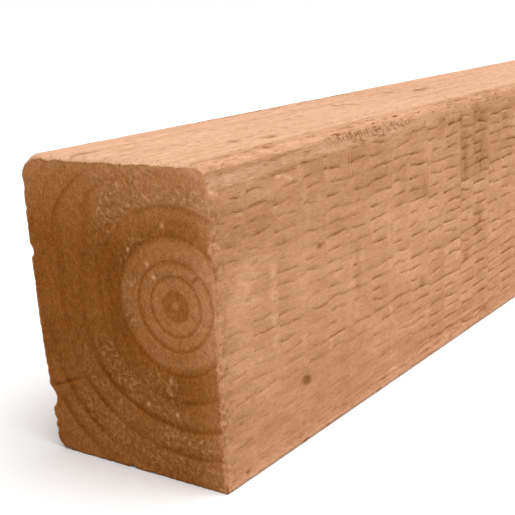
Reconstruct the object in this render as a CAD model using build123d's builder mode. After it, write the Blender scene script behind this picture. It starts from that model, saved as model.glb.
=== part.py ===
"""A rough-sawn, treated timber fence post, lying on one of its narrow faces.

The post runs along X, with its narrow side across Y and its tall side along Z. The origin is on the floor,
under the middle of the post. "Left" and "right" are as seen looking along +X at the near end.
"""

import os
from math import hypot, sqrt

from build123d import *

# Size of the post, in millimetres. It was sawn 75 wide and measures this much over its swollen left face
post_length = 1800.0
section_width = 76.0
section_height = 100.0

# The left face dried out of true: it swells at mid-height and leans out towards the top
face_crown = 1.5
face_lean = 5.0

# Radius of the long arrises, as the saw and handling left them
arris_top_left = 7.0
arris_bottom_left = 5.0
arris_bottom_right = 0.6

# The upper right arris: how far its flat round reaches onto the top face and down the right face. It reaches
# further at the near end, where it is worn, and the wear runs out along the post
arris_setback = 1.8
arris_drop = 4.5
wear_setback = 2.2
wear_drop = 7.5
wear_length = 220.0
wear_roundness = 0.06  # rise of the round over its chord, as a share of the chord

# A chip is out of the left face at the near end, low down, and it runs out along the post
chip_height = 18.0
chip_width = 8.5
chip_depth = 1.7
chip_length = 60.0
chip_clear = 0.2  # how far the scoop that makes it has come off the face at its length

near_end = -post_length / 2
near_plane = Plane.YZ.offset(near_end)
right_face = -section_width / 2

# The left face is an arc on a leaning chord, and its furthest point makes up the full width
chord = hypot(section_height, face_lean)
crown_radius = (chord**2 / 4 + face_crown**2) / (2 * face_crown)
crown_centre_across = section_width / 2 - crown_radius
crown_centre_height = section_height / 2 + (crown_radius - face_crown) * face_lean / chord
chord_middle = crown_centre_across + (crown_radius - face_crown) * section_height / chord
left_foot = chord_middle - face_lean / 2
left_head = chord_middle + face_lean / 2

arris_radii = {
    (right_face, 0): arris_bottom_right,
    (left_foot, 0): arris_bottom_left,
    (left_head, section_height): arris_top_left,
}

# The worn round, by how far along the post it has which reach: setback on the top, drop on the side
wear_stations = (
    (0, wear_setback, wear_drop),
    (wear_length, arris_setback, arris_drop),
    (post_length, arris_setback, arris_drop),
)

# The chip is a scoop with a round section, deepest at the end and off the face at its full length
chip_radius = (chip_width**2 / 4 + chip_depth**2) / (2 * chip_depth)
chip_face = crown_centre_across + sqrt(crown_radius**2 - (chip_height - crown_centre_height) ** 2)
chip_stations = (
    (0, chip_face - chip_depth),
    (chip_length, chip_face + chip_clear),
)

with BuildPart() as post:
    # Sawn section with three of its arrises, run out to the full length
    with BuildSketch(near_plane):
        with BuildLine():
            Polyline((left_foot, 0), (right_face, 0), (right_face, section_height), (left_head, section_height))
            SagittaArc((left_head, section_height), (left_foot, 0), face_crown)
        make_face()
        for corner, radius in arris_radii.items():
            fillet(vertices().sort_by_distance(corner)[0], radius)
    extrude(amount=post_length)

    # The upper right arris, with its wear: what is outside its round comes off
    for along, setback, drop in wear_stations:
        on_top = (right_face + setback, section_height)
        on_side = (right_face, section_height - drop)
        corner = (right_face - drop, section_height + setback)
        with BuildSketch(near_plane.offset(along)):
            with BuildLine():
                SagittaArc(on_top, on_side, wear_roundness * hypot(setback, drop))
                Polyline(on_side, (corner[0], on_side[1]), corner, (on_top[0], corner[1]), on_top)
            make_face()
    loft(ruled=True, mode=Mode.SUBTRACT)

    # The chip out of the left face
    for along, reach in chip_stations:
        with BuildSketch(near_plane.offset(along)):
            with Locations((reach + chip_radius, chip_height)):
                Circle(chip_radius)
    loft(mode=Mode.SUBTRACT)

post.part.label = "post"

os.makedirs("parts", exist_ok=True)
export_step(post.part, "parts/post.step")
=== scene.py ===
"""The looks of a rough-sawn, treated fence post: its growth rings, saw marks, torn grain and worn edges.

Sizes are in millimetres unless a line says otherwise. "Along" is measured from the near end of the post, and
a depth goes into the wood. The points go to Blender in metres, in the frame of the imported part.
"""

from collections import namedtuple
from functools import partialmethod, reduce
from itertools import product, starmap
from math import pi, radians

import bpy
import numpy as np
from mathutils import Matrix, Vector
from mathutils.bvhtree import BVHTree
from mathutils.geometry import delaunay_2d_cdt

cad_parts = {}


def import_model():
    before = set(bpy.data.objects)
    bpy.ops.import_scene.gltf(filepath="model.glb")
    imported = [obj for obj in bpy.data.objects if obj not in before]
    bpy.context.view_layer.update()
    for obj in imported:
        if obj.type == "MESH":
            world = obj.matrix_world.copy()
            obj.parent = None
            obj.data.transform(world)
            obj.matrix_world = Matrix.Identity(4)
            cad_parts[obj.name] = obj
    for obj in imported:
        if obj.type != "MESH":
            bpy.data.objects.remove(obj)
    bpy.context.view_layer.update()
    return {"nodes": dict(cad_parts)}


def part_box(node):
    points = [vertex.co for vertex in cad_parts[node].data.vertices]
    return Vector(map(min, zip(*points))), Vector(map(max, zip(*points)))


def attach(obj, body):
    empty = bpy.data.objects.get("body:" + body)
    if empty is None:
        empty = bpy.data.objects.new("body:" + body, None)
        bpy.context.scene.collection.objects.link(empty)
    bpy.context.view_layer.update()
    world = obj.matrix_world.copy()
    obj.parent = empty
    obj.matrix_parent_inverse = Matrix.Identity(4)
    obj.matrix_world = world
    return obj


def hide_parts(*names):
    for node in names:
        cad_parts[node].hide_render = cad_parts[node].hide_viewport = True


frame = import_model()

MM = 0.001

# The four long faces, in order round the section. Arris number k comes just before face number k
RIGHT, TOP, LEFT, BOTTOM = range(4)

post_low, post_high = (np.array(corner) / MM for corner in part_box("post"))
post_length, post_width, post_height = post_high - post_low

# How the surface is divided. The near block is what a close view of the near end takes in
near_block = 300.0
core_inset = 8.0  # the rays that find the surface start this far inside it
near_spacing = {RIGHT: 0.55, TOP: 1.1, LEFT: 0.9, BOTTOM: 1.0}
near_fan = (24, 26, 14, 14)  # rays round each arris
far_spacing = {RIGHT: 3.0, TOP: 4.0, LEFT: 3.0, BOTTOM: 5.0}
far_fan = (5, 6, 5, 5)
near_end_spacing = 0.68
far_end_spacing = 1.4

# Steps along the post: the first one, how much each grows on the last, and the longest
seen_steps = (0.65, 1.01, 2.1)
hidden_steps = (0.8, 1.09, 11)
middle_steps = (3.0, 1.05, 17)
far_end_steps = (1.2, 1.1, 17)
joint_gap = 3.0  # between the near block and the rest

# The points of an end, as shares of their spacing: the gap between rows, how far a point is off its place,
# and the margin that is left along the outline
end_row_share = 0.87
end_jitter = 0.2
end_margin = 0.6

# Where each patch of the surface lies on the square map that its colours are baked to. The corner is in parts
# of the map's side, the start is the patch's own corner in millimetres, and the near end has the most room
map_side = 1024.0
Patch = namedtuple("Patch", "corner start scale")
near_sides_map = Patch((4, 4), (0, 0), (2.0, 2.0))
far_sides_map = Patch((4, 716), (near_block, 0), (0.67, 0.85))
near_face_map = Patch((616, 4), (0, 0), (4.0, 4.0))
far_face_map = Patch((616, 416), (0, 0), (2.8, 2.8))

# Growth rings: the pith's place on the section, and for each ring its radius, the width of its dark latewood,
# and the arcs where it shows on an end, in degrees round the pith from the left by way of the top, with how
# clearly it shows
pith = np.array([-22.4, 57.0])
all_round = ((0, 360, 1.0),)
Ring = namedtuple("Ring", "radius width arcs")
growth_rings = (
    Ring(9.4, 0.75, all_round),
    Ring(14.0, 0.95, all_round),
    Ring(21.2, 1.4, all_round),
    Ring(30.2, 1.2, ((62, 125, 0.85), (242, 292, 0.65))),
    Ring(39.4, 1.4, ((34, 54, 0.8), (246, 330, 1.0), (330, 350, 0.5))),
    Ring(48.0, 1.5, ((24, 46, 0.8), (-16, 24, 0.35), (250, 282, 0.8), (282, 306, 0.5), (306, 325, 1.0))),
    Ring(57.0, 1.8, ((300, 330, 0.9),)),
    Ring(63.5, 1.8, ((305, 325, 0.9),)),
    Ring(74.0, 2.4, ()),
)
ring_reach = 80.0  # the furthest that the wood is from the pith, about
ring_drift = 0.75  # how far the middle rings lie off to the left of the pith

# Where the outer rings swell: degrees round the pith at the start of the swell and further for each mm out
# from there, how far that spreads, and how far they swell
swell_start = 45.0
ring_swells = ((44, -1.7, 18, 6.2), (318, 0.0, 22, 1.4))

# Light, frayed fibres on an end: from and to in degrees round the pith, from and to in radius, and how many
frayed_arcs = (
    (36, 64, 30.8, 35.5, 1), (62, 118, 31, 36.5, 0.75), (28, 62, 21.6, 25, 0.75), (268, 300, 22, 38, 0.6),
    (298, 335, 31, 38, 1), (295, 335, 41, 47, 0.5), (330, 390, 14.6, 20.5, 0.5), (20, 62, 10, 13.5, 0.6),
    (285, 320, 49, 60, 0.6), (255, 286, 40.5, 47, 0.9), (258, 300, 49, 56, 0.7), (48, 84, 37, 46, 0.45),
    (20, 36, 32, 38, 0.4),
)

# Light tufts of fibre on the near end: degrees round the pith, radius, half width
end_tufts = (
    (46, 11.3, 0.8), (49, 15.6, 0.9), (42, 23.2, 0.8), (83, 24.2, 0.8), (128, 23.4, 1.1), (279, 24.6, 0.9),
    (278, 28.8, 0.6), (274, 34.9, 0.7), (292, 36.3, 0.9), (61, 40.6, 0.6),
)

# Cracks in the near end, from and to across and up
end_cracks = (((33.9, 21.6), (19.8, 27.4)), ((-28.8, 64.4), (-31.2, 67)))

# The gang saw left a band for each stroke, with a tear in most rows of the grain where the stroke begins
band_pitch = 15.15
first_band = 1.1
row_pitch = 4.4
long_tears = ((10, 14), (7, 78))  # rows that tore on from stroke to stroke, by number, and from where along

# Marks on a face: the middle along and across, half the length and width, and how strong it is
Mark = namedtuple("Mark", "along across half_length half_width strength")
pin_knot = Mark(45.7, 21.2, 2.4, 1.7, 0.9)
side_stains = (
    (187.5, 48, 5, 6.5, 0.5), (172.5, 80, 4.5, 12, 0.4), (173.5, 33, 3.5, 4, 0.4), (188, 80, 8, 13, 0.3),
    (216.5, 87, 4, 3, 0.5), (131.5, 33, 2, 3, 0.35), (81.5, 50, 2, 9, 0.4), (34.5, 57, 3.6, 9, 0.2),
    (72, 38, 14, 6, 0.22), (78, 80, 8, 10, 0.14), (14, 76, 12, 4, 0.25), (57, 64.3, 2.6, 1, 0.6),
    (121, 9, 8, 4, 0.3), (53, 93, 20, 0.4, 0.5), (11, 3, 1.4, 1, 0.6), (38, 96.3, 6.5, 0.8, 0.5),
    (51, 95.2, 4.5, 0.7, 0.5), (151, 95, 4, 2, 0.6), (160, 92, 3, 4, 0.2), (168, 94.5, 2.5, 4.5, 0.6),
    (182, 96.5, 8, 2.6, 0.9), (183, 94, 3, 5, 0.3), (191, 95, 5, 3, 0.4), (198, 95.5, 6, 2.4, 0.5),
    (208, 98, 8, 2, 0.8), (228, 95.5, 7, 2.6, 0.2), (160, 6.6, 60, 0.6, 0.35), (150, 3.8, 55, 0.5, 0.3),
)
side_lights = (
    (29, 53, 2, 16, 1.1), (13, 60, 8, 7, 0.5), (84, 53, 3, 5, 0.7), (67, 53, 5, 4, 0.6), (105, 62, 2, 6, 0.6),
    (105.5, 29, 2.2, 3, 0.8), (120, 5.2, 112, 0.5, 1.1), (150, 8.6, 80, 0.4, 0.8), (170, 2.4, 60, 0.4, 1),
    (26, 6.8, 8, 0.4, 1),
)
# The two long marks along the top's far edge, at 31.8 across, are painted shade where the far arris rounds
# away from the light; the rest are dark marks on the wood
top_stains_and_shade = (
    (54.4, -21, 4.5, 1.9, 1), (42, -16, 3.5, 1.7, 0.8), (65, 10, 4, 1.2, 0.4), (215.7, 3.1, 8, 2.1, 2.4),
    (201, 11.6, 3.5, 2.2, 1.2), (144.3, 7, 1.4, 3, 1.6), (150.4, 4.6, 1.4, 3.4, 1.8), (165, 0.3, 2, 2, 0.7),
    (222, 12, 50, 17, 0.17), (246, 22, 12, 1.6, 0.35), (134, 28.5, 5, 1.4, 0.9), (200, 29, 14, 1.6, 0.4),
    (6.5, 16.5, 5, 3, 0.5), (24.7, 9.6, 1, 1.6, 0.7), (16, 8.4, 6, 2.4, 0.5), (29, -6, 1, 1.6, 0.5),
    (14, -33, 12, 2.4, 0.45), (32, -33, 12, 2.2, 0.45), (60, -34, 7, 1.6, 0.25), (82, -34, 6, 1.4, 0.3),
    (172, -33, 14, 3.4, 0.42), (205, -33.5, 14, 3.4, 0.48), (112, 31.8, 42, 3.2, 0.9),
    (180, 31.8, 30, 3.2, 1),
)

# Light splinters and dark slits on the right face, each by the points of its line, along and up
splinters = (
    ((32.5, 91.3), (37, 91), (41.4, 89.2)),
    ((-0.5, 91.9), (3.2, 91.2)), ((1, 93.9), (3, 93.3)), ((0, 77), (2.6, 75.6)), ((105, 5.6), (109.5, 4.6)),
    ((115, 5.4), (120, 4)), ((124, 4.2), (130, 4.5)), ((137, 5), (143.5, 1.6)), ((153, 4.2), (163, 3.6)),
    ((168.5, 4.9), (172.5, 3.7)), ((183, 5.4), (190, 5)),
)
slits = (((155, 5.5), (163.5, 4.6)), ((169, 5.7), (181, 3.6)), ((29.5, 92.4), (44, 92.2)))

# Upright scratches where a stroke of the saw began, in groups: from and to along, from and to up
scratch_groups = (
    (181.5, 193, 76.5, 81.5), (181.5, 193, 67, 73), (182, 197, 86, 97), (150, 158, 90, 96),
    (166, 171, 88, 95), (132, 138.5, 66, 79), (76, 80, 84, 92), (166.5, 176, 66, 76),
)

# Fibres broken across the worn arris: the middle along and half length of where they are thick, and how far
# they reach along and up
comb_thick = ((78, 11), (105, 15))
comb_start, comb_end = 60, 130
comb_foot, comb_head = 94.6, 99.0

# Bites out of the near end's left and lower edges: place on the edge, half width, depth
left_bites = (
    (89, 1.3, 0.4), (82.4, 0.7, 0.4), (68, 1.7, 1.2), (28.3, 0.9, 0.35), (25.3, 1, 0.35), (17.8, 3, 0.8),
    (10, 0.8, 0.8), (6.3, 1.1, 0.45),
)
bottom_bites = (
    (28.5, 0.9, 0.9), (25.6, 0.7, 0.5), (17, 0.8, 0.4), (12.3, 0.8, 0.5), (9, 0.8, 0.3), (0, 1.2, 0.6),
    (-8.2, 0.9, 0.6), (-12.3, 0.7, 0.3),
)
bite_run = 7.0  # how far along the post a bite runs out

worn_flat = 0.35  # the highest parts of the sawn faces' roughness are worn off by this much

# Colours are written as they look: a tone is the red that a face shows, and green and blue fall behind it by
# nearly the same steps in every tone. A face's own colour is that over how brightly its side is lit
middle_tone = 187
green_lag, blue_lag = 53.5, 92.0
darker_green_lag, darker_blue_lag, lighter_blue_lag = -0.02, 0.07, 0.03  # for each step from the middle tone
least_green, least_blue = 0.35, 0.12  # as shares of the red
side_light, top_light, end_light, shade_light = 0.86, 1.28, 0.55, 0.3
brightest = 0.92  # no wood is paler than this

# Light: the sky's level, the sun's, where the sun comes from, and how far it spreads in degrees
sky_level = 0.52
sun_level = 0.85
sun_from = (0.1, -0.36, 0.93)
sun_spread = 60


# Soft steps, lines and noise

def smooth(t):
    """0 up to 0, 1 from 1 on, and a soft rise between."""
    t = np.clip(t, 0, 1)
    return t * t * (3 - 2 * t)


def past(value, start, run):
    """0 up to the start, rising to 1 over the run."""
    return smooth((value - start) / run)


def before(value, end, run):
    """1, falling to 0 over the run that ends here."""
    return smooth((end - value) / run)


def within(value, low, high, soft):
    """1 from low to high, with soft ends."""
    return smooth((value - low) / soft + 0.5) * smooth((high - value) / soft + 0.5)


def bell(t):
    """1 at 0, falling off to either side."""
    return np.exp(-(t**2))


def strongest(layers):
    """The highest of several layers at each place."""
    return reduce(np.maximum, layers)


def by_line(u, v, start, end):
    """Where places are by a line: the share of its length, how far to its side, and how far past its ends."""
    run_u, run_v = end[0] - start[0], end[1] - start[1]
    length = np.hypot(run_u, run_v)
    share = ((u - start[0]) * run_u + (v - start[1]) * run_v) / length**2
    off = ((u - start[0]) * run_v - (v - start[1]) * run_u) / length
    return share, off, (share - np.clip(share, 0, 1)) * length


def cell_random(seed, *cells):
    """A fixed random number from 0 to 1 for each cell of a lattice."""
    mixed = np.full(np.shape(cells[0]), seed, np.uint32)
    for cell in cells:
        mixed = (mixed ^ np.asarray(cell).astype(np.int64).astype(np.uint32)) * np.uint32(0x9E3779B1)
        mixed = (mixed ^ (mixed >> np.uint32(15))) * np.uint32(0x85EBCA77)
        mixed = mixed ^ (mixed >> np.uint32(13))
    return mixed / 2.0**32


def noise(seed, *places):
    """Smooth noise from 0 to 1, at places given in cells of its lattice."""
    places = np.broadcast_arrays(*places)
    low = [np.floor(place) for place in places]
    share = [smooth(place - start) for place, start in zip(places, low)]
    total = np.zeros(places[0].shape)
    for corner in product((0, 1), repeat=len(places)):
        weight = np.ones(places[0].shape)
        for side, part in zip(corner, share):
            weight = weight * (part if side else 1 - part)
        total += weight * cell_random(seed, *(start + side for start, side in zip(low, corner)))
    return total


def rough(seed, *places, octaves=3):
    """Noise from 0 to 1 with finer noise on top."""
    total, weight = 0.0, 0.0
    for octave in range(octaves):
        total = total + noise(seed + octave, *(place * 2**octave for place in places)) / 2**octave
        weight += 1 / 2**octave
    return total / weight


# The surface before its relief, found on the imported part

Rays = namedtuple("Rays", "start heading on_face on_arris")


def section_rays(spacing, fan):
    """Rays from a core inside the section out through its surface, all the way round.

    They begin at the foot of the right face.
    """
    low = post_low[1:] + core_inset
    high = post_high[1:] - core_inset
    corners = np.array([(low[0], low[1]), (low[0], high[1]), (high[0], high[1]), (high[0], low[1])])
    starts, headings, on_face, on_arris = [], [], [], []

    def add(start, turn, face, share):
        starts.append(start)
        headings.append((-np.sin(turn), -np.cos(turn)))
        faces = np.zeros(4)
        faces[face] += smooth(2 * share - 0.75)
        faces[face - 1] += 1 - smooth(2 * share - 0.75)
        on_face.append(faces)
        arrises = np.zeros(4)
        arrises[face] = 4 * share * (1 - share)
        on_arris.append(arrises)

    for face in (RIGHT, TOP, LEFT, BOTTOM):
        start, end = corners[face], corners[(face + 1) % 4]
        for share in np.linspace(0, 1, fan[face]):
            add(start, (face + share) * pi / 2, face, share)
        count = round(np.linalg.norm(end - start) / spacing[face])
        for part in np.arange(1, count) / count:
            add(start + part * (end - start), (face + 1) * pi / 2, face, 1.0)
    return Rays(*(np.array(values) for values in (starts, headings, on_face, on_arris)))


def some_rays(rays, which):
    return Rays(*(values[which] for values in rays))


post_mesh = frame["nodes"]["post"].data
post_points = [vertex.co for vertex in post_mesh.vertices]
post_tree = BVHTree.FromPolygons(post_points, [face.vertices for face in post_mesh.polygons])
probe_step = 4.0
probe_end = 240.0  # past this the section stays the same
probe_edge = 0.02
probes = np.concatenate([np.arange(0, probe_end, probe_step), [probe_end, post_length]])


def reach_of(rays, stations):
    """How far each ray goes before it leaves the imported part, by station and ray.

    After it come how far sideways and how far up the surface faces there.
    """
    inside = np.clip(probes, probe_edge, post_length - probe_edge)
    found = np.empty((3, len(probes), len(rays.start)))
    for row, along in enumerate(inside):
        for column, (start, heading) in enumerate(zip(rays.start, rays.heading)):
            origin = Vector((post_low[0] + along, *start)) * MM
            _, normal, _, distance = post_tree.ray_cast(origin, Vector((0, *heading)))
            found[:, row, column] = distance / MM, abs(normal.y), abs(normal.z)
    after = np.clip(np.searchsorted(probes, stations), 1, len(probes) - 1)
    share = ((stations - probes[after - 1]) / (probes[after] - probes[after - 1]))[:, None]
    return found[:, after - 1] * (1 - share) + found[:, after] * share


def round_of(rays):
    """How far round the section each ray comes out, from the right face's foot, and the whole way round."""
    reach, _, _ = reach_of(rays, np.array([post_length / 2]))
    points = rays.start + rays.heading * reach[0][:, None]
    steps = np.hypot(*(np.roll(points, -1, 0) - points).T)
    return np.concatenate([[0], np.cumsum(steps)[:-1]]), steps.sum()


def spread_stations(start, end, first_step, growth, longest_step):
    """Places along the post, close together at the start and growing apart."""
    places, step = [start], first_step
    while places[-1] < end:
        places.append(places[-1] + step)
        step = min(step * growth, longest_step)
    places = np.array(places)
    return start + (places - start) * (end - start) / (places[-1] - start)


# Relief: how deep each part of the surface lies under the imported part's surface

def band_place(along, up):
    """The number of the saw's band at a place, and how far into the band it is, from 0 to 1."""
    jitter = 0.03 * cell_random(29, np.floor(up / row_pitch)) + 0.05 * noise(30, along / 40, up / 14) - 0.04
    place = (along - first_band) / band_pitch
    place = place + 0.05 * np.cos(pi * place) + jitter
    return np.floor(place), place % 1


def row_place(along, up):
    """The rows of the grain, counted up the face. A whole number is on the line between two rows."""
    band, _ = band_place(along, up)
    sway = 1.6 * (noise(31, along / 80, up / 30) - 0.5) + 1.0 * (noise(32, along / 11, up / 7) - 0.5)
    shift = 3.4 * (cell_random(33, band) - 0.5)
    return (up + sway + shift) / row_pitch


def calm(along, up):
    """1 where the saw tore the grain less: near the end, and low down on the first stretch of the face."""
    by_end = 0.35 * before(along, 64, 20) * before(up, 86, 14)
    at_edge = 0.75 * before(along, 13, 9)
    low_down = 0.6 * before(up, 34, 14) * before(along, 175, 95)
    return strongest((by_end, at_edge, low_down))


def torn_grain(along, up):
    """How strong the tear in the nearest row of the grain is, and how far above its line a place is.

    The tears of a stroke begin together, and the saw tore more on every other stroke.
    """
    row = row_place(along, up)
    band, part = band_place(along, up)
    number = np.round(row)
    above = (row - number) * row_pitch
    chance, late, reach, head, slope = (cell_random(seed, band, number) for seed in range(50, 55))
    behind = part * band_pitch - 6.0 * late**5
    length = 4.0 + 9.0 * reach + 3.0 * past(along, 70, 40)
    ends = smooth(behind / 0.6) * before(behind, length, 3)
    blobs = past(noise(57, along / 3.2, 7.7 * number), 0.45, 0.3)
    head_dot = before(behind, 2.0, 1.2) * (head > 0.4)
    strength = ends * (0.4 + 0.12 * head + 0.26 * blobs + 0.3 * head_dot) * (chance > 0.06)
    strength = strength * (1 - 0.18 * (band % 2)) * (1 - calm(along, up)) * (0.85 + 0.2 * past(along, 85, 40))
    for row_number, begin in long_tears:
        torn_on = 0.35 * past(noise(59, along / 12, number), 0.2, 0.3) * past(along, begin, 8)
        strength = np.maximum(strength, torn_on * (number == row_number))
    in_row = before(np.abs(above), 1.8, 0.4)
    wave = 0.8 * (noise(58, along / 4.5, 3.1 * number) - 0.5)
    tilt = 0.14 * (slope - 0.5) * (part - 0.3) * band_pitch
    return strength * in_row, above - (wave + tilt)


def brick_tone(along, up):
    """How much lighter than its neighbours the wood between two tears of one stroke is, about 0."""
    band, part = band_place(along, up)
    number = np.floor(row_place(along, up))
    at_start = cell_random(63, band, number) * before(part, 0.35, 0.3)
    return (cell_random(62, band, number) - 0.6 + 0.5 * at_start) * (1 - calm(along, up))


def shingle_depth(along, up):
    """Each row stands out a little at its foot, like a shingle over the next."""
    row = row_place(along, up)
    band, part = band_place(along, up)
    height = cell_random(60, band, np.floor(row)) * (1 - 0.5 * part) * (1 - calm(along, up))
    rise = row % 1
    return 0.4 * height * rise * before(rise, 1, 0.1)


def band_depth(along, up, seed):
    """The steps that the saw left from one stroke to the next."""
    band, part = band_place(along, up)
    step = 0.1 * cell_random(seed, band) + 0.08 * part * cell_random(seed + 1, band)
    last_step = 0.1 * cell_random(seed, band - 1) + 0.08 * cell_random(seed + 1, band - 1)
    blend = smooth(part / 0.07)
    return last_step * (1 - blend) + step * blend


def sawn_depth(along, up, seed):
    """A gang-sawn face without its tears."""
    wander = 0.14 * rough(seed, along / 75, up / 45)
    lumps = 0.2 * rough(seed + 5, along / 6, up / 3.2)
    streaks = 0.08 * rough(seed + 10, along / 13, up / 1.6)
    grit = 0.09 * noise(seed + 20, along / 1.8, up / 1.2)
    fuzzy_end = 0.25 * before(along, 25, 25) * noise(seed + 30, along / 2.6, up / 1.8)
    steps = band_depth(along, up, seed + 40) + shingle_depth(along, up)
    return np.maximum(wander + steps + lumps + streaks + grit + fuzzy_end - worn_flat, 0)


def smoother_depth(along, across, seed):
    """A face from the edging saw, with fine lines along it."""
    wander = 0.12 * rough(seed, along / 90, across / 30)
    lines = 0.12 * rough(seed + 10, along / 45, across / 2.2)
    lumps = 0.22 * rough(seed + 15, along / 9, across / 5) ** 2
    grit = 0.06 * noise(seed + 20, along / 2.4, across / 1.6)
    return np.maximum(wander + lines + lumps + grit - 0.12, 0)


def marks_on(marks, along, across):
    """How dark the marks make a face, broken up by its roughness."""
    patchy = np.clip(2.4 * rough(70, along / 3.2, across / 2.0) - 0.3, 0, None)

    def darkness(mark):
        away = np.hypot((along - mark.along) / mark.half_length, (across - mark.across) / mark.half_width)
        return mark.strength * np.exp(-(away**3))

    return patchy * strongest(darkness(mark) for mark in starmap(Mark, marks))


def strokes_at(strokes, along, up):
    """1 on thin strokes, each given by the points of its line."""
    lines = [line for points in strokes for line in zip(points, points[1:])]
    places = (by_line(along, up, *line) for line in lines)
    return strongest(before(np.hypot(off, beyond), 0.65, 0.45) for _, off, beyond in places)


def end_specks(along, up):
    """Dark specks where the end's saw cut frayed the side."""
    speck = past(noise(71, along / 1.4, up / 1.2), 0.5, 0.25)
    return 0.55 * speck * before(along, 7, 7) * before(up, 91, 6)


def group_mask(groups, along, up):
    """1 inside the groups, which are given from and to along, from and to up."""
    soft = 1.5
    return strongest(
        within(along, near, far, soft) * within(up, low, high, soft) for near, far, low, high in groups
    )


def comb_mask(along, up):
    """Where the fibres broke across the worn arris, in two thick places and thinly between."""
    thick = sum(bell((along - middle) / half_length) for middle, half_length in comb_thick)
    spread = np.clip(thick + 0.15, 0, 1) * past(along, comb_start, 6) * before(along, comb_end, 8)
    return spread * past(up, comb_foot, 1.2) * before(up, comb_head, 0.8)


def bite_depth(place, bites):
    """How deep the bites out of an end edge go, at places on that edge."""
    return strongest(depth * np.exp(-(((place - middle) / half) ** 4)) for middle, half, depth in bites)


class Surface:
    """The points of the post's surface, with what the material reads at each."""

    names = (
        "tear",  # how strong the tear near a point is
        "line",  # how far above that tear's line the point is
        "stain",  # how dark a mark is, painted shade along the top's far arris among them
        "light",  # how light a mark is
        "scratch",  # where the saw left upright scratches
        "comb",  # where the worn arris has ticks across it
        "wear",  # how much darker the arrises are drawn: partly worn, dirty wood, partly painted shade on the worn facets
        "smoother",  # 1 on the top and bottom, which are smoother than the sides
        "rows",  # 1 where the material draws the tears alone
        "end_grain",  # 1 on the ends
        "lit",  # how brightly the surface is lit, by the way it faces
        "age",  # radius from the pith, along the growth rings
        "ring_show",  # how clearly the growth rings show
    )

    def __init__(self):
        self.points = []
        self.flat = []
        self.values = {name: [] for name in self.names}
        self.count = 0

    def add(self, points, flat, **values):
        """Takes in points and their places on the flattened surface, and returns the points' numbers."""
        shape = points.shape[:-1]
        self.points.append(points.reshape(-1, 3))
        self.flat.append(flat.reshape(-1, 2))
        for name in self.names:
            value = np.broadcast_to(values.get(name, 0.0), shape)
            self.values[name].append(value.ravel())
        numbers = self.count + np.arange(np.prod(shape)).reshape(shape)
        self.count += numbers.size
        return numbers


def near_marks(along, across, up, right, top, arris):
    """What the material draws on the near block's right and top faces, and on the arris between them."""
    strength, line = torn_grain(along, up)
    torn_to = 95.5 + 3.0 * past(along, 135, 25)
    stains = np.maximum(marks_on(side_stains, along, up), 0.5 * strokes_at(slits, along, up))
    light = marks_on(side_lights, along, up) + 0.8 * brick_tone(along, up) * before(up, 94, 3)
    light = light + 2.2 * strokes_at(splinters, along, up)
    knot_along = (along - pin_knot.along + 0.5 * (up - pin_knot.across)) / pin_knot.half_length
    knot_up = (up - pin_knot.across) / pin_knot.half_width
    knot = pin_knot.strength * before(np.hypot(knot_along, knot_up), 1.35, 0.6)
    dark = strongest((stains, knot, end_specks(along, up)))
    return {
        "tear": right * before(up, torn_to, 2.5) * strength,
        "line": line,
        # on the top, painted shade along the far arris is among these marks
        "stain": np.maximum(right * dark, top * marks_on(top_stains_and_shade, along, across)),
        "light": right * light,
        "scratch": right * group_mask(scratch_groups, along, up),
        "comb": arris * comb_mask(along, up),
    }


def faces_at(rays, upward):
    """How far each point belongs to the right, top, left and bottom face, from 0 to 1."""
    right, top, left, bottom = (np.broadcast_to(rays.on_face[:, face], upward.shape) for face in range(4))
    like_top = np.clip(1.75 * upward, 0, 1)
    right = np.where(rays.on_arris[:, TOP] > 0, 1 - like_top, right)
    left = np.where(rays.on_arris[:, LEFT] > 0, 1 - like_top, left)
    top = np.where(rays.on_arris[:, [TOP, LEFT]].max(1) > 0, like_top, top)
    return right, top, left, bottom


def faces_depth(along, across, up, faces, worn):
    """The roughness of the long faces, which is worn off on the arrises."""
    right, top, left, bottom = faces
    depth = right * sawn_depth(along, up, 100) + left * np.maximum(sawn_depth(along, up, 200) - 0.25, 0)
    depth = depth + top * smoother_depth(along, across, 300) + bottom * smoother_depth(along, across, 400)
    return depth * (1 - 0.8 * worn) + 0.18 * worn * rough(500, along / 5, (across + up) / 2.5) ** 2


def marks_depth(along, up, marks):
    """How deep the tears, stains and broken fibres of the near block go."""
    torn = 0.3 * marks["tear"] * bell(marks["line"] / 0.5)
    return torn + 0.2 * marks["stain"] + 0.2 * marks["comb"] * noise(510, along / 1.6, up / 4)


def edge_depth(from_end, at_near_end, across, up, faces):
    """How far the long faces are frayed at the ends' edges, and bitten at the near one's."""
    _, top, left, bottom = faces
    soft = soft_edge(across, up)
    frayed = (0.15 + 0.6 * top) * rough(530, across / 2.0, up / 2.0, octaves=2) + 0.2 * soft + 0.45 * top
    bitten = left * bite_depth(up, left_bites) + bottom * bite_depth(across, bottom_bites)
    frayed = frayed * round_off(from_end, 1.5 + 1.5 * np.maximum(soft, top))
    return frayed + at_near_end * bell(from_end / bite_run) * bitten


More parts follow.
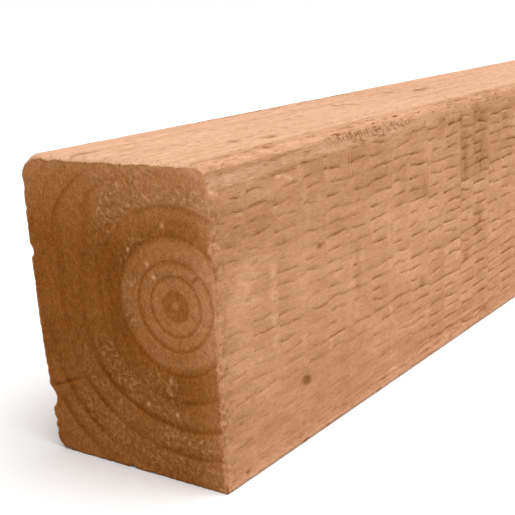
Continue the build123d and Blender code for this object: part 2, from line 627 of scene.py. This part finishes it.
def long_patch(surface, rays, round_at, stations, near):
    """A stretch of the long faces, by station and ray. The near one has tears and marks in its mesh."""
    reach, sideways, upward = reach_of(rays, stations)
    along = np.repeat(stations[:, None], len(rays.start), 1)
    across, up = (rays.start[:, axis] + rays.heading[:, axis] * reach for axis in range(2))
    arris = np.broadcast_to(rays.on_arris[:, TOP], reach.shape)
    worn = np.broadcast_to(rays.on_arris.max(1), reach.shape)
    if near:
        sideways, upward = worn_round(sideways, arris), worn_round(upward, arris)
    faces = right, top, left, bottom = faces_at(rays, upward)
    from_end = np.minimum(along, post_length - along)
    at_near_end = along < post_length / 2

    depth = faces_depth(along, across, up, faces, worn)
    marks = near_marks(along, across, up, right, top, arris) if near else {}
    if near:
        depth = depth + marks_depth(along, up, marks)
    depth = depth + edge_depth(from_end, at_near_end, across, up, faces)
    shift = edge_recess(across, up) * smooth(1 - from_end / 6) * np.where(at_near_end, 1, -1)

    # On their edges the faces take on the looks of the end
    at_edge = bell(from_end / 0.8)
    lit = shade_light + (side_light - shade_light) * sideways + (top_light - shade_light) * upward
    lit = lit + at_edge * (end_light - lit) * (0.45 + 0.55 * bottom - 0.25 * top)
    frayed_end = np.maximum(bottom * at_edge, 0.32 * right * smooth(1 - from_end / 3))

    if near:
        across, up = worn_round(across, arris), worn_round(up, arris)
    # The arrises are drawn darker, most on the right arris's worn bevel past 50 mm along: partly the colour
    # of worn, dirty wood, partly painted shade on the worn facets
    near_arris = before(across, -26, 9) * past(top, 0.6, 0.4)
    wear = np.clip(worn + near_arris, 0, 1) * (0.3 + 1.1 * rough(540, along / 14, (across + up) / 7))
    wear = wear + near_arris * (0.35 + 0.6 * past(along, 50, 60))
    inward = -rays.heading * depth[..., None]
    return surface.add(
        np.stack([post_low[0] + along + shift, across + inward[..., 0], up + inward[..., 1]], -1),
        np.stack(np.broadcast_arrays(along, round_at), -1),
        wear=wear,
        smoother=top + bottom,
        rows=left if near else left + right,
        end_grain=frayed_end,
        lit=lit,
        age=ring_radius(along, across, up),
        ring_show=0.2,
        **marks,
    )


def worn_round(places, arris):
    """The places of the points of an arris, each averaged with its neighbours so that no ridge is left."""
    reach = 4
    total = np.zeros(places.shape)
    for step in range(-reach, reach + 1):
        total += np.roll(places, step, 1) / (2 * reach + 1)
    beside = np.maximum(np.roll(arris, reach, 1), np.roll(arris, -reach, 1))
    return np.where(np.maximum(beside, arris) > 0, total, places)


def soft_edge(across, up):
    """1 at the right edge of an end, which is worn round down to its foot."""
    return before(across, -34, 3.5) * past(up, 1, 7)


def round_off(gap, width):
    """The profile of a worn edge: 1 at the edge, running out at its width."""
    return np.clip(1 - gap / width, 0, 1) ** 2


def edge_recess(across, up):
    """How far back an end's edge is rounded, round the section."""
    ragged = 0.6 * rough(550, across / 1.2, up / 1.2) ** 2
    return 0.05 + ragged + 0.5 * soft_edge(across, up) + 0.4 * past(up, 96, 3)


def ring_radius(along, across, up):
    """How far from the pith the wood at a place is, along the growth rings, which sway and swell."""
    left, rise = across - pith[0], up - pith[1]
    radius = np.hypot(left, rise)
    turn = turn_round_pith(across, up)
    outer = past(radius, 32, 8)
    sway = 1.0 * (noise(560, along / 260, across / 18, up / 18) - 0.5) * smooth(radius / 8)
    drift = ring_drift * left / np.maximum(radius, 1) * past(radius, 8, 12) * (1 - outer)
    swell = 0.0
    for middle, tilt, spread, height in ring_swells:
        away = turn_away(turn, middle + tilt * (radius - swell_start))
        swell = swell + height * bell(away / spread)
    return radius + sway - drift - swell * outer


def turn_round_pith(across, up):
    """Degrees round the pith, from the left by way of the top."""
    return np.degrees(np.arctan2(up - pith[1], across - pith[0])) % 360


def turn_away(turn, middle):
    """Degrees from a direction, either way round."""
    return np.abs((turn - middle + 180) % 360 - 180)


def in_arc(turn, start, end):
    """1 inside an arc, running out softly at its ends."""
    return smooth(((end - start) / 2 - turn_away(turn, (start + end) / 2)) / 14 + 0.5)


def ring_strength(across, up, age):
    """How clearly the growth rings show on an end, from 0 to 1."""
    turn = turn_round_pith(across, up)
    shown = [np.full(age.shape, 0.25)]
    for ring in growth_rings:
        beside = smooth(2.2 - np.abs(age - ring.radius) / (1.6 * ring.width))
        shown += [clear * beside * in_arc(turn, start, end) for start, end, clear in ring.arcs]
    return strongest(shown)


def ring_line(age):
    """1 on the dark line of a growth ring."""
    return sum(bell((age - ring.radius) / (0.7 * ring.width)) for ring in growth_rings)


def frayed_fibres(across, up, age):
    """Where light fibres are frayed out of an end, from 0 to 1."""
    turn = turn_round_pith(across, up)
    return strongest(
        amount * in_arc(turn, start, end) * within(age, inner, outer, 2)
        for start, end, inner, outer, amount in frayed_arcs
    )


def tufts_at(across, up):
    """Where the light tufts of fibre are, from 0 to 1."""

    def tuft(turn, radius, half_width):
        middle = pith + radius * np.array([np.cos(radians(turn)), np.sin(radians(turn))])
        return bell(np.hypot(across - middle[0], 0.7 * (up - middle[1])) / (0.75 * half_width))

    return strongest(starmap(tuft, end_tufts))


def cracks_at(across, up):
    """How strong the nearest crack is, and how far a place is off its line."""
    strength, line = np.zeros(across.shape), np.zeros(across.shape)
    for start, end in end_cracks:
        part, off, _ = by_line(across, up, start, end)
        here = smooth(part / 0.1) * before(part, 1, 0.25) * before(np.abs(off), 2.5, 1.0)
        line = np.where(here > strength, off, line)
        strength = np.maximum(strength, 0.9 * here)
    return strength, line


def end_points(edge, spacing, seed):
    """Points inside an end's outline, in loose rows, and how far each is from the outline."""
    low, high = edge.min(0), edge.max(0)
    rows = []
    for number, up in enumerate(np.arange(low[1], high[1], spacing * end_row_share)):
        across = np.arange(low[0] + spacing * (number % 2) / 2, high[0], spacing)
        rows.append(np.stack([across, np.full(across.shape, up)], 1))
    points = np.concatenate(rows)
    points += np.random.default_rng(seed).uniform(-end_jitter, end_jitter, points.shape) * spacing
    gap = edge_distance(points, edge)
    inside = gap > end_margin * spacing
    return points[inside], gap[inside]


def over_edges(across, up, gap):
    """How far the sides' looks and the top's reach over an end's edge, and where the top edge is."""
    at_top = past(up, 95, 3) * past(across, -36, 3)
    at_left = past(across, 32, 3)
    at_right = before(across, -32, 3) * (1 - 0.7 * past(up, 89, 6))
    over_side = np.maximum(0.5 * at_left * before(gap, 1.0, 0.8), 0.6 * at_right * before(gap, 2.8, 2.8))
    reach = 0.5 + 0.8 * past(across, -38, 45)
    return over_side, at_top * before(gap, reach, reach), at_top


def dark_wood(across, up, age):
    """The darker wood round the core, in two arcs."""
    turn = turn_round_pith(across, up)
    arcs = np.maximum(in_arc(turn, -30, 38), in_arc(turn, 60, 120))
    return 0.16 * past(age, 21.6, 1.0) * before(age, 29.5, 4) * arcs


def fill_outline(ring, edge, inner, places):
    """Triangles between the points of a ring and the points inside it, by their numbers."""
    numbers = np.concatenate([ring, inner])
    corners = [Vector(place) for place in np.concatenate([edge, places])]
    result = delaunay_2d_cdt(corners, [], [list(range(len(ring)))], 1, 1e-6)
    faces, origins = result[2], result[3]
    return np.array([[numbers[origins[corner][0]] for corner in face] for face in faces])


def end_patch(surface, ring, spacing, near):
    """The face of an end, from the ring of points at its edge. Returns its triangles."""
    edge = np.concatenate(surface.points)[ring][:, 1:]
    places, gap = end_points(edge, spacing, seed=7 if near else 8)
    across, up = places.T
    age = ring_radius(0.0 if near else post_length, across, up)
    show = ring_strength(across, up, age)
    light = frayed_fibres(across, up, age)
    crack, line = cracks_at(across, up) if near else (0.0, 0.0)
    tufts = tufts_at(across, up) if near else 0.0

    fuzz = 0.3 * rough(570, across / 1.4, up / 1.8) + 0.3 * rough(575, across / 3.2, up / 3.2) ** 2
    pits = past(noise(580, across / 1.1, up / 1.6), 0.7, 0.2) * (0.3 + 0.7 * light)
    groove = 0.5 * crack * bell(line / 0.5)
    rough_end = fuzz * (1 - 0.8 * tufts) + 0.3 * pits + 0.16 * show * ring_line(age) + groove
    back = edge_recess(across, up) * round_off(gap, 1.0 + 2.0 * soft_edge(across, up))
    depth = back + rough_end * smooth(gap / 1.2)
    end_place = post_low[0] + depth if near else post_high[0] - depth

    over_side, over_top, at_top = over_edges(across, up, gap)
    side_glow = 0.3 * (side_light - end_light) * over_side
    top_glow = 0.6 * (top_light - end_light) * over_top
    inner = surface.add(
        np.stack([end_place, across, up], 1),
        places,
        end_grain=1 - np.maximum(over_side, over_top),
        smoother=at_top,
        lit=end_light + np.maximum(side_glow, top_glow),
        stain=0.25 * pits + dark_wood(across, up, age),
        light=light,
        scratch=tufts,
        tear=crack,
        line=line,
        age=age,
        ring_show=show,
    )
    triangles = fill_outline(ring, edge, inner, places)
    return triangles[:, ::-1] if near else triangles


def edge_distance(points, edge):
    """How far points are inside a closed outline: 0 or less outside it."""
    across, up = points.T
    nearest, crossings = np.inf, 0
    for start, end in zip(edge, np.roll(edge, -1, 0)):
        _, off, beyond = by_line(across, up, start, end)
        nearest = np.minimum(nearest, np.hypot(off, beyond))
        level = (start[1] > up) != (end[1] > up)
        crossings = crossings + (level & ((off < 0) == (end[1] > start[1])))
    return np.where(crossings % 2 == 1, nearest, -nearest)


# Faces between lines of points

def grid_triangles(index, closed=False):
    """Two triangles for each cell of a grid of points, by station and ray."""
    if closed:
        index = np.concatenate([index, index[:, :1]], 1)
    a, b, c, d = index[:-1, :-1], index[:-1, 1:], index[1:, 1:], index[1:, :-1]
    return np.concatenate([np.stack([a, c, b], -1).reshape(-1, 3), np.stack([a, d, c], -1).reshape(-1, 3)])


def strip_triangles(first, first_at, second, second_at):
    """Triangles between two lines of points, from the places of the points along them."""
    triangles, i, j = [], 0, 0
    while i < len(first) - 1 or j < len(second) - 1:
        if j == len(second) - 1 or (i < len(first) - 1 and first_at[i + 1] <= second_at[j + 1]):
            triangles.append((first[i], first[i + 1], second[j]))
            i += 1
        else:
            triangles.append((first[i], second[j + 1], second[j]))
            j += 1
    return np.array(triangles)


def round_places(surface, ring):
    """How far round the section each point of a closed ring is, with the first point again at the end."""
    points = np.concatenate(surface.points)[ring][:, 1:]
    turn = np.arctan2(-points[:, 0], post_height / 2 - points[:, 1])
    turn = (turn - turn[0]) % (2 * pi)
    return np.append(turn, 2 * pi)


def map_of(surface, triangles, patch, whole_round=None):
    """Where the corners of a patch's triangles lie on the baking map. A patch of an end has no way round."""
    if whole_round is None:
        places = np.concatenate(surface.points)[triangles][..., 1:] - post_low[1:]
    else:
        places = np.concatenate(surface.flat)[triangles]
        around = places[..., 1]
        over_the_seam = (np.ptp(around, axis=1) > whole_round / 2)[:, None] & (around < whole_round / 2)
        places[..., 1] = np.where(over_the_seam, around + whole_round, around)
    return (np.array(patch.corner) + (places - patch.start) * patch.scale) / map_side


def build_timber():
    """The post as one closed mesh."""
    surface = Surface()
    near_rays = section_rays(near_spacing, near_fan)
    near_round, whole_round = round_of(near_rays)
    seam = sum(near_fan[:3]) + sum(
        round((side - 2 * core_inset) / near_spacing[face]) - 1
        for face, side in ((RIGHT, post_height), (TOP, post_width))
    )
    seen_rays = some_rays(near_rays, slice(0, seam))
    hidden_rays = some_rays(near_rays, slice(seam, None))
    far_rays = section_rays(far_spacing, far_fan)
    far_round, _ = round_of(far_rays)
    seen_at = spread_stations(0, near_block, *seen_steps)
    hidden_at = spread_stations(0, near_block, *hidden_steps)
    middle_at = spread_stations(near_block + joint_gap, post_length / 2, *middle_steps)
    from_far_end = spread_stations(0, post_length / 2, *far_end_steps)
    far_at = np.concatenate([middle_at, post_length - from_far_end[::-1][1:]])

    seen = long_patch(surface, seen_rays, near_round[:seam], seen_at, True)
    hidden = long_patch(surface, hidden_rays, near_round[seam:], hidden_at, False)
    far = long_patch(surface, far_rays, far_round, far_at, False)

    near_sides = np.concatenate([
        grid_triangles(seen),
        grid_triangles(hidden),
        strip_triangles(seen[:, -1], seen_at, hidden[:, 0], hidden_at),
        strip_triangles(hidden[:, -1], hidden_at, seen[:, 0], seen_at),
    ])
    joint = np.concatenate([seen[-1], hidden[-1]])
    joint_strip = strip_triangles(
        np.append(joint, joint[0]), round_places(surface, joint),
        np.append(far[0], far[0][0]), round_places(surface, far[0]),
    )
    far_sides = np.concatenate([grid_triangles(far, closed=True), joint_strip[:, ::-1]])
    near_face = end_patch(surface, np.concatenate([seen[0], hidden[0]]), near_end_spacing, True)
    far_face = end_patch(surface, far[-1], far_end_spacing, False)
    baking_map = np.concatenate([
        map_of(surface, near_sides, near_sides_map, whole_round),
        map_of(surface, far_sides, far_sides_map, whole_round),
        map_of(surface, near_face, near_face_map),
        map_of(surface, far_face, far_face_map),
    ])
    triangles = np.concatenate([near_sides, far_sides, near_face, far_face])
    return make_mesh("post_timber", surface, triangles, baking_map)


def make_mesh(name, surface, triangles, baking_map):
    mesh = bpy.data.meshes.new(name)
    points = np.concatenate(surface.points) * MM
    mesh.from_pydata(points.tolist(), [], triangles.tolist())
    layer = mesh.uv_layers.new(name="OFBake")
    layer.data.foreach_set("uv", baking_map.astype(np.float32).ravel())
    for value in surface.names:
        attribute = mesh.attributes.new(value, "FLOAT", "POINT")
        attribute.data.foreach_set("value", np.concatenate(surface.values[value]).astype(np.float32))
    mesh.shade_smooth()
    piece = bpy.data.objects.new(name, mesh)
    bpy.context.scene.collection.objects.link(piece)
    return piece


# Materials

class Value:
    """A number worked out by shader nodes. Plain arithmetic on it adds the nodes that do the same."""

    def __init__(self, nodes, socket):
        self.nodes = nodes
        self.socket = socket

    def beside(self, name):
        """Another output of the same node."""
        return Value(self.nodes, self.socket.node.outputs[name])

    def work_out(self, operation, other):
        return self.nodes.math(operation, self, other)

    def __rsub__(self, other):
        return self.nodes.math("SUBTRACT", other, self)

    __add__ = __radd__ = partialmethod(work_out, "ADD")
    __mul__ = __rmul__ = partialmethod(work_out, "MULTIPLY")
    __sub__ = partialmethod(work_out, "SUBTRACT")
    __truediv__ = partialmethod(work_out, "DIVIDE")


class Nodes:
    """Adds shader nodes to a material or a world and links them."""

    def __init__(self, owner, shader="Principled BSDF"):
        owner.use_nodes = True
        self.tree = owner.node_tree
        self.shader = self.tree.nodes[shader]

    def put(self, socket, value):
        if isinstance(value, Value):
            self.tree.links.new(value.socket, socket)
        else:
            socket.default_value = value

    def shade(self, name, value):
        self.put(self.shader.inputs[name], value)

    def add(self, kind, inputs, output=0, **settings):
        """An output of a new node, by number or name."""
        node = self.tree.nodes.new(kind)
        for name, value in settings.items():
            setattr(node, name, value)
        for socket, value in inputs.items():
            self.put(node.inputs[socket], value)
        return Value(self, node.outputs[output])

    def math(self, operation, *values):
        return self.add("ShaderNodeMath", dict(enumerate(values)), operation=operation)

    def vector(self, operation, *values):
        return self.add("ShaderNodeVectorMath", dict(enumerate(values)), operation=operation)

    def split(self, vector):
        first = self.add("ShaderNodeSeparateXYZ", {0: vector})
        return [first.beside(axis) for axis in "XYZ"]

    def join(self, *parts):
        return self.add("ShaderNodeCombineXYZ", dict(enumerate(parts)))

    def chances(self, dimensions, **cell):
        """Four random numbers from 0 to 1 for each cell."""
        colour = self.add("ShaderNodeTexWhiteNoise", cell, "Color", noise_dimensions=dimensions)
        return [*self.split(colour), colour.beside("Value")]

    def texture(self, vector, cell, detail=2.0, roughness=0.5):
        """Noise about 0, from -0.5 to 0.5, with a cell of this size along each axis."""
        scaled = self.vector("DIVIDE", vector, cell)
        inputs = {"Vector": scaled, "Scale": 1.0, "Detail": detail, "Roughness": roughness}
        return self.add("ShaderNodeTexNoise", inputs) - 0.5

    def attribute(self, name):
        return self.add("ShaderNodeAttribute", {}, "Fac", attribute_name=name)

    def ramp(self, factor, stops):
        colour = self.add("ShaderNodeValToRGB", {0: factor})
        elements = colour.socket.node.color_ramp.elements
        for number, (place, channels) in enumerate(stops):
            element = elements[number] if number < 2 else elements.new(place)
            element.position = place
            element.color = (*channels, 1.0)
        return colour

    def bell(self, value):
        """1 where the value is 0, falling off to either side."""
        return self.math("EXPONENT", value * value * -1.0)

    def between(self, value, low, high):
        """0 at low, 1 at high, smooth between."""
        inputs = {"Value": value, "From Min": low, "From Max": high}
        return self.add("ShaderNodeMapRange", inputs, interpolation_type="SMOOTHSTEP")


def linear(value):
    """A colour channel as written, from 0 to 255, in linear light."""
    value = max(value, 0) / 255
    return value / 12.92 if value <= 0.04045 else ((value + 0.055) / 1.055) ** 2.4


def tone_stops():
    """A ramp over the tones, from dark to light."""
    stops = []
    for tone in range(60, 256, 15):
        darker = middle_tone - tone
        green = tone - green_lag - darker_green_lag * darker
        blue = tone - blue_lag - (darker_blue_lag if darker > 0 else lighter_blue_lag) * darker
        channels = (tone, max(green, least_green * tone), max(blue, least_blue * tone))
        stops.append((tone / 255, tuple(linear(channel) for channel in channels)))
    return stops


def ring_stops():
    """A ramp over the distance from the pith, which darkens towards each latewood line and ends sharply."""
    stops = []
    for ring in growth_rings:
        rise, fall = ring.radius - 1.7 * ring.width, ring.radius + 0.7 * ring.width
        for place, level in ((rise, 0.0), (ring.radius, 1.0), (fall, 0.0)):
            stops.append((place / ring_reach, (level,) * 3))
    return stops


def torn_lines(nodes, place, value):
    """The tears that the mesh has, as thin jagged lines with painted shade above them and a painted highlight
    just under them; their dark is partly the treatment soaked into torn grain, partly painted shade of the
    groove. 1 is the darkest.
    """
    off_line = value["line"] + 1.1 * nodes.texture(place, (1.7, 0.8, 0.8), 2.0, 0.6)
    # The dark line: partly the treatment soaked into the torn grain, partly painted shade of the groove
    dark = nodes.bell(off_line / (0.17 + 0.28 * value["tear"]))
    # A painted highlight just under the line, where light from above would catch the torn edge
    lip_highlight = nodes.bell((off_line + 1) / 0.5)
    # Painted shade fading upwards from the line, as the torn row would cast it
    over = nodes.between(off_line, 2.0, 0.2) * nodes.between(off_line, -0.2, 0.2)
    return value["tear"] * (0.9 * dark + 0.14 * over - 0.14 * lip_highlight)


def ticks(nodes, across, pitch):
    """Dark ticks side by side, each with its own place and strength."""
    cell = across / pitch
    strength, shift, width, _ = nodes.chances("1D", W=nodes.math("FLOOR", cell))
    off = nodes.math("FRACT", cell) - (0.25 + 0.5 * shift)
    return strength * nodes.bell(off / (0.12 + 0.12 * width))


def saw_rows(nodes, place, rows):
    """Torn rows where the mesh has none, and a painted highlight on the last part of the saw's stronger
    strokes, as light on the step to the next stroke.
    """
    x, y, z = nodes.split(place)
    uneven = 3 * nodes.texture(place, (12, 3, 3))
    band = (x + uneven + (post_length / 2 - first_band)) / band_pitch
    number, band_part = nodes.math("FLOOR", band), nodes.math("FRACT", band)
    strong = 1 - 0.5 * nodes.math("FLOORED_MODULO", number, 2.0)
    lift = 3 * nodes.texture(place, (70, 40, 25)) + 0.9 * nodes.texture(place, (1.7, 0.8, 0.8))
    row = (z + lift) / row_pitch
    cell = nodes.join(number, nodes.math("FLOOR", row), nodes.math("SIGN", y))
    height, late, reach, chance = nodes.chances("3D", Vector=cell)
    across = nodes.bell((nodes.math("FRACT", row) - (0.4 + 0.2 * height)) / 0.075)
    part = (band_part - 0.2 * late) / (0.25 + 0.6 * reach)
    along = nodes.between(part, 0.0, 0.06) * nodes.between(part, 1.0, 0.3)
    # Painted highlight: the end of a stronger stroke is drawn lighter, as the saw's step would catch the
    # light there
    step_highlight = nodes.between(band_part, 0.68, 0.92) * (2 * strong - 1)
    return across * along * (0.35 + 0.65 * chance) * strong * rows, step_highlight


def long_face(nodes, place, value):
    """The tone of the long faces, and the height of their bump."""
    texture, between = nodes.texture, nodes.between
    x, y, z = nodes.split(place)
    from_end = x + post_length / 2
    by_end = between(from_end, 110, 70)
    smoother, wear = value["smoother"], value["wear"]
    rougher = 1 - smoother
    streaks = texture(place, (40, 1.8, 1.8), 3.0, 0.6)
    long_lines = texture(place, (90, 1.5, 1.5), 1.0)
    fibres = texture(place, (4, 0.7, 0.7), 2.0, 0.6)
    blotches = texture(place, (24, 13, 13))
    lumps = texture(place, (4.5, 3, 3), 2.0, 0.6)
    broken = 1 + 2.4 * lumps
    grit = texture(place, (1, 0.8, 0.8), 2.0, 0.7)
    flecks = between(texture(place, (6, 1.4, 1.4), 2.0, 0.55), 0.06, 0.24)
    elsewhere = nodes.vector("ADD", place, (40, 20, 60))
    dashes = between(texture(elsewhere, (3.4, 0.9, 0.9), 1.0), 0.1, 0.26)
    patchy = between(texture(place, (26, 7, 7)), -0.08, 0.14)
    drawn, step_highlight = saw_rows(nodes, place, value["rows"])
    torn = torn_lines(nodes, place, value) + drawn
    leaning = nodes.join(x + 0.35 * z, y, z)
    comb = value["comb"] * between(texture(leaning, (0.75, 2.6, 2.6), 1.0), 0.0, 0.15)
    scratch = value["scratch"] * ticks(nodes, x + 0.6 * fibres, 1.5)
    tone = (
        206
        + 36 * smoother
        - 9 * between(z, 62, 76) * rougher
        - (4 + 5 * by_end) * between(z, 42, 24) * rougher
        - 2 * by_end * rougher
        - 9 * between(from_end, 15, 2) * between(z, 18, 34) * between(z, 92, 82)
        + (9 + 16 * smoother) * streaks
        + (34 - 24 * by_end) * between(z, 36, 20) * rougher * long_lines
        + (20 + 53 * smoother) * fibres
        + (9 + 25 * rougher) * blotches
        - (13 + 2 * by_end) * rougher * dashes
        - 16 * between(long_lines, 0.05, 0.2) * smoother
        + (18 + 4 * rougher) * lumps
        + (30 + 14 * smoother) * grit
        # painted highlight at the saw's steps
        + 6 * step_highlight * patchy * rougher
        - 52 * (0.25 + 0.75 * patchy) * smoother * flecks
        # Darker arrises: partly worn, dirty wood, partly painted shade on the worn facets
        - 24 * wear * flecks
        - 12 * wear * broken
        + 13 * value["light"] * (1 + 1.4 * lumps)
        # dark marks, with painted shade along the top's far arris
        - 46 * value["stain"] * broken
        # The tears, drawn and in the mesh: partly treatment soaked into torn grain, partly painted shade of
        # their grooves
        - 60 * torn
        - 55 * comb * broken
        - 42 * scratch
    )
    height = 0.4 * (fibres + grit) + 0.5 * (lumps - torn - comb)
    return tone, height


def end_face(nodes, place, value):
    """The tone of the ends, and the height of their bump."""
    texture, between = nodes.texture, nodes.between
    x, y, z = nodes.split(place)
    slanted = nodes.join(x, 0.94 * y + 0.35 * z, 0.94 * z - 0.35 * y)
    strokes = texture(slanted, (2, 0.8, 2.6), 2.0, 0.6)
    hairs = between(texture(slanted, (1, 0.55, 1.7), 1.0), 0.12, 0.3)
    mottle = texture(place, (2.2, 2.2, 2.2), 3.0, 0.65)
    specks = texture(place, (0.7, 0.7, 0.7), 2.0, 0.6)
    clouds = texture(place, (13, 13, 13))
    elsewhere = nodes.vector("ADD", place, (70, 30, 10))
    clumps = between(texture(elsewhere, (2, 1.7, 1.7), 3.0, 0.6), -0.06, 0.12)
    fibres = clumps * (0.12 + 0.9 * value["light"])
    tufts = value["scratch"] * (1 + 1.6 * specks)
    age = value["age"] + 0.8 * mottle
    core = between(age, 5.4, 4.4) - 1.1 * between(age, 2.2, 0.6)
    crack = value["tear"] * nodes.bell((value["line"] + 2 * mottle) / 0.4)
    tone = (
        123
        + 19 * between(age, 22, 20.6)
        # Painted light: the end is drawn lighter towards its right edge and its top, as a light from above
        # and to the right, and the edges worn round towards it, would show it
        + 8 * between(y, 2, -26) * between(z, 28, 52)
        + 20 * between(y, -25, -37)
        + 24 * between(z, 70, 92)
        + 10 * between(z, 92, 98)
        + 8 * between(z, 38, 14)
        + 24 * strokes
        + 28 * mottle
        + 42 * specks
        + 16 * hairs
        + 18 * clouds
        + 25 * fibres
        + 56 * tufts
        - 40 * value["stain"]
        - 17 * core
        - 15 * crack
    )
    height = 0.5 * strokes + mottle + 0.6 * specks + fibres - crack
    return tone, height


def wood_material():
    material = bpy.data.materials.new("treated_timber")
    nodes = Nodes(material)
    place = nodes.vector("MULTIPLY", nodes.add("ShaderNodeTexCoord", {}, "Object"), (1 / MM,) * 3)
    value = {name: nodes.attribute(name) for name in Surface.names}
    long_tone, long_height = long_face(nodes, place, value)
    end_tone, end_height = end_face(nodes, place, value)
    fray = nodes.texture(place, (1.2, 1, 1), 2.0, 0.6)
    on_end = nodes.between(value["end_grain"] + 0.8 * fray, 0.3, 0.8)

    rings = nodes.ramp(value["age"] / ring_reach, ring_stops())
    tone = long_tone - 20 * rings * value["ring_show"] + on_end * (end_tone - long_tone)
    seen = nodes.ramp(tone / 255, tone_stops())
    fullest = nodes.split(seen)[0] / brightest
    nodes.shade("Base Color", nodes.vector("DIVIDE", seen, nodes.math("MAXIMUM", value["lit"], fullest)))

    grain = nodes.texture(place, (2, 1.2, 1.2), 2.0, 0.6)
    nodes.shade("Roughness", 0.86 + 0.2 * grain)
    nodes.shade("Specular IOR Level", 0.06)

    height = long_height + on_end * (end_height - long_height)
    relief = {"Strength": 0.9, "Distance": 0.35 * MM, "Height": height}
    nodes.shade("Normal", nodes.add("ShaderNodeBump", relief))
    return material


# The stage: a white floor, soft light and the camera

def floor_material():
    """White to the camera, and darker to the light that comes back from it onto the post."""
    material = bpy.data.materials.new("floor")
    nodes = Nodes(material)
    seen = nodes.add("ShaderNodeLightPath", {}, "Is Camera Ray")
    colours = {"Factor": seen, 6: (0.45, 0.45, 0.45, 1), 7: (0.98, 0.98, 0.98, 1)}
    nodes.shade("Base Color", nodes.add("ShaderNodeMix", colours, 2, data_type="RGBA"))
    nodes.shade("Roughness", 0.9)
    nodes.shade("Specular IOR Level", 0.0)
    return material


def make_floor():
    mesh = bpy.data.meshes.new("floor")
    side = 40.0  # metres
    corners = [(-side, -side, 0), (side, -side, 0), (side, side, 0), (-side, side, 0)]
    mesh.from_pydata(corners, [], [(0, 1, 2, 3)])
    mesh.materials.append(floor_material())
    floor = bpy.data.objects.new("floor", mesh)
    bpy.context.scene.collection.objects.link(floor)


def make_world(strength):
    """A white sky: plain white where it is seen or reflected, and at this level as light."""
    world = bpy.data.worlds.new("studio")
    nodes = Nodes(world, "Background")
    camera_ray = nodes.add("ShaderNodeLightPath", {}, "Is Camera Ray")
    seen = camera_ray
    for kind in ("Is Glossy Ray", "Is Transmission Ray"):
        seen = nodes.math("MAXIMUM", seen, camera_ray.beside(kind))
    nodes.shade("Color", (1, 1, 1, 1))
    level = {"Value": seen, "To Min": strength, "To Max": 1.0}
    nodes.shade("Strength", nodes.add("ShaderNodeMapRange", level))
    bpy.context.scene.world = world


def make_sun(name, coming_from, level, spread):
    """A soft, even light. At level 1 a surface that faces it looks as bright as its own colour."""
    light = bpy.data.lights.new(name, "SUN")
    light.energy = level * pi
    light.angle = radians(spread)
    lamp = bpy.data.objects.new(name, light)
    lamp.rotation_euler = Vector(coming_from).to_track_quat("Z", "Y").to_euler()
    bpy.context.scene.collection.objects.link(lamp)


def make_camera():
    """The camera, by its place from the near end's foot and the directions of its axes."""
    picture_side = 515
    focal_length = 1017.25  # in the picture's pixels
    place = Vector((-219.41, -209.71, 142.52))
    ahead = Vector((0.78947, 0.56387, -0.24246))
    right = Vector((0.57074, -0.81973, -0.04798))
    data = bpy.data.cameras.new("camera")
    data.sensor_width = 36.0
    data.lens = focal_length / picture_side * data.sensor_width
    data.clip_start = 0.02
    camera = bpy.data.objects.new("camera", data)
    up = right.cross(ahead)
    turn = Matrix((right, up, -ahead)).transposed()
    camera.matrix_world = Matrix.Translation((place + Vector((post_low[0], 0, 0))) * MM) @ turn.to_4x4()
    bpy.context.scene.collection.objects.link(camera)
    bpy.context.scene.camera = camera


timber = build_timber()
timber.data.materials.append(wood_material())
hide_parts("post")
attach(timber, "root")

make_floor()
make_world(sky_level)
make_sun("key", sun_from, sun_level, sun_spread)
make_camera()
bpy.context.scene.view_settings.view_transform = "Standard"
